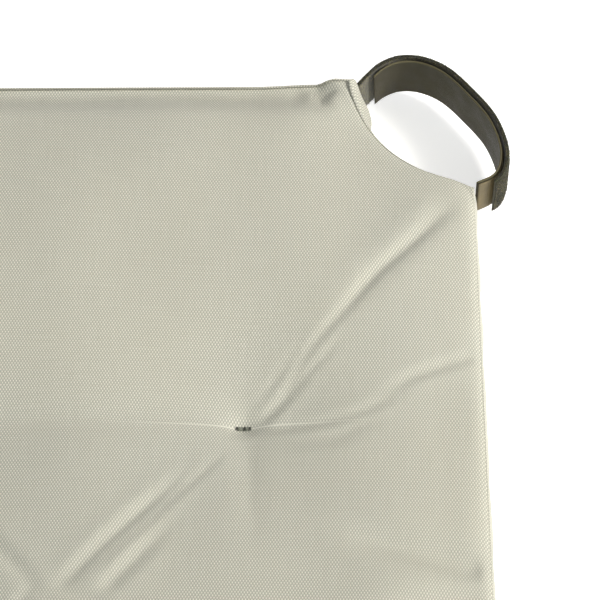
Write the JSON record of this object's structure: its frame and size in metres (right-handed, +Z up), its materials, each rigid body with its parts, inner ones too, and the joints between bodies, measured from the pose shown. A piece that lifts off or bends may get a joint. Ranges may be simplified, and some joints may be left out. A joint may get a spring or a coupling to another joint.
{
  "type": "chair seat pad",
  "caption": "Tufted, crowned seat pad with both back corners cut away in a quarter circle and hook-and-loop straps that close round the back posts of a chair.",
  "frame": {"origin": "middle of the flat underside, on the surface that the pad lies on", "axes": "+X to the right of a person sitting on it, +Y towards the back of the chair, +Z up"},
  "size_m": [0.4334, 0.4997, 0.043],
  "materials": {
    "cover_cloth": "plain oxford weave, matt",
    "foam": "open-cell foam",
    "wadding": "soft fibre wadding",
    "tuft_thread": "twisted polyester thread",
    "strap_tape": "smooth woven nylon tape",
    "loop_pile": "fuzzy loop pile",
    "hook_field": "field of small moulded hooks"
  },
  "bodies": {
    "pad": {"cover_top": "cover_cloth", "cover_bottom": "cover_cloth", "cover_side_front": "cover_cloth", "cover_side_left": "cover_cloth", "cover_side_right": "cover_cloth", "cover_side_back": "cover_cloth", "cover_notch_left": "cover_cloth", "cover_notch_right": "cover_cloth", "foam_core": "foam", "wadding_top": "wadding", "wadding_bottom": "wadding", "tuft_front_left": "tuft_thread", "tuft_front_right": "tuft_thread", "tuft_back_left": "tuft_thread", "tuft_back_right": "tuft_thread", "outer_strap_sewn_end_left": "strap_tape", "inner_strap_sewn_end_left": "strap_tape", "outer_strap_sewn_end_right": "strap_tape", "inner_strap_sewn_end_right": "strap_tape"},
    "outer_flap_right": {"outer_strap_right": "strap_tape", "loop_pile_right": "loop_pile"},
    "inner_flap_right": {"inner_strap_right": "strap_tape", "hook_field_right": "hook_field"},
    "outer_flap_left": {"outer_strap_left": "strap_tape", "loop_pile_left": "loop_pile"},
    "inner_flap_left": {"inner_strap_left": "strap_tape", "hook_field_left": "hook_field"}
  },
  "joints": [
    {"name": "outer_strap_right_peel", "type": "hinge", "parent": "pad", "child": "outer_flap_right", "pos_m": [0.14255, 0.2409, 0.019], "axis": [0, 0, 1], "range_deg": [0, 120]},
    {"name": "inner_strap_right_swing", "type": "hinge", "parent": "pad", "child": "inner_flap_right", "pos_m": [0.20026, 0.18387, 0.019], "axis": [0, 0, 1], "range_deg": [0, 6]},
    {"name": "outer_strap_left_peel", "type": "hinge", "parent": "pad", "child": "outer_flap_left", "pos_m": [-0.14255, 0.2409, 0.019], "axis": [0, 0, -1], "range_deg": [0, 120]},
    {"name": "inner_strap_left_swing", "type": "hinge", "parent": "pad", "child": "inner_flap_left", "pos_m": [-0.20026, 0.18387, 0.019], "axis": [0, 0, -1], "range_deg": [0, 6]}
  ]
}
